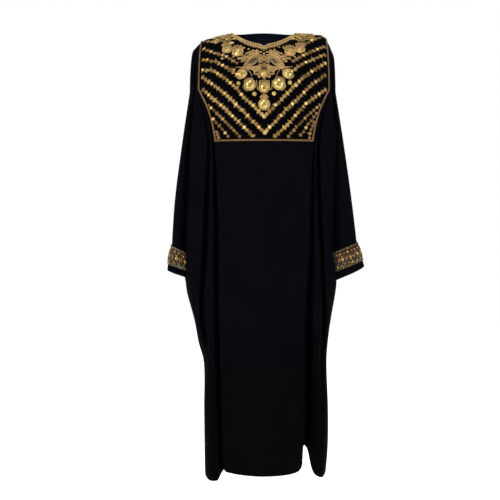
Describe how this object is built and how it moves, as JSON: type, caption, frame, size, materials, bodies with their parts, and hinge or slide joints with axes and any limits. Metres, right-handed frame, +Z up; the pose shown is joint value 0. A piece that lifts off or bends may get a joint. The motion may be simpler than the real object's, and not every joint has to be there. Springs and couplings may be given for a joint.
{
  "type": "abaya",
  "caption": "Full-length butterfly-cut abaya worn on an invisible figure, with wide wings, cuffed sleeves and a yoke of gold chevron braid and stones",
  "frame": {"origin": "on the shoulder line, midway between the two points where the shoulder seams meet the neck opening; the wearer carries the garment there", "axes": "+X to the wearer's left, +Y to the back, +Z up; the front faces -Y"},
  "size_m": [0.63, 0.3042, 1.4252],
  "materials": {
    "crepe": "near-black crepe with a faint navy tone and a soft sheen",
    "velvet": "flat black velvet ground of the yoke",
    "braid": "gold metal thread, braid, cord and settings",
    "stone": "faceted golden stones",
    "cuff_braid": "woven silver-gold band with amber stones"
  },
  "bodies": {
    "root": {"back": "crepe", "chevron_1_left": "braid", "chevron_1_right": "braid", "chevron_2_left": "braid", "chevron_2_right": "braid", "chevron_3_left": "braid", "chevron_3_right": "braid", "chevron_4_left": "braid", "chevron_4_right": "braid", "chevron_5_left": "braid", "chevron_5_right": "braid", "chevron_6_left": "braid", "chevron_6_right": "braid", "chevron_7_left": "braid", "chevron_7_right": "braid", "chevron_8_left": "braid", "chevron_8_right": "braid", "cuff_band_left": "cuff_braid", "cuff_band_right": "cuff_braid", "cuff_left": "crepe", "cuff_right": "crepe", "front": "crepe", "leaf_left": "stone", "leaf_right": "stone", "neck_trim": "braid", "palmette": "braid", "stone_centre": "stone", "stone_collar_left": "stone", "stone_collar_right": "stone", "stone_inner_left": "stone", "stone_inner_right": "stone", "stone_outer_left": "stone", "stone_outer_right": "stone", "stone_pendant": "stone", "stone_shoulder_left": "stone", "stone_shoulder_right": "stone", "yoke": "velvet", "yoke_cord": "braid"}
  },
  "joints": []
}
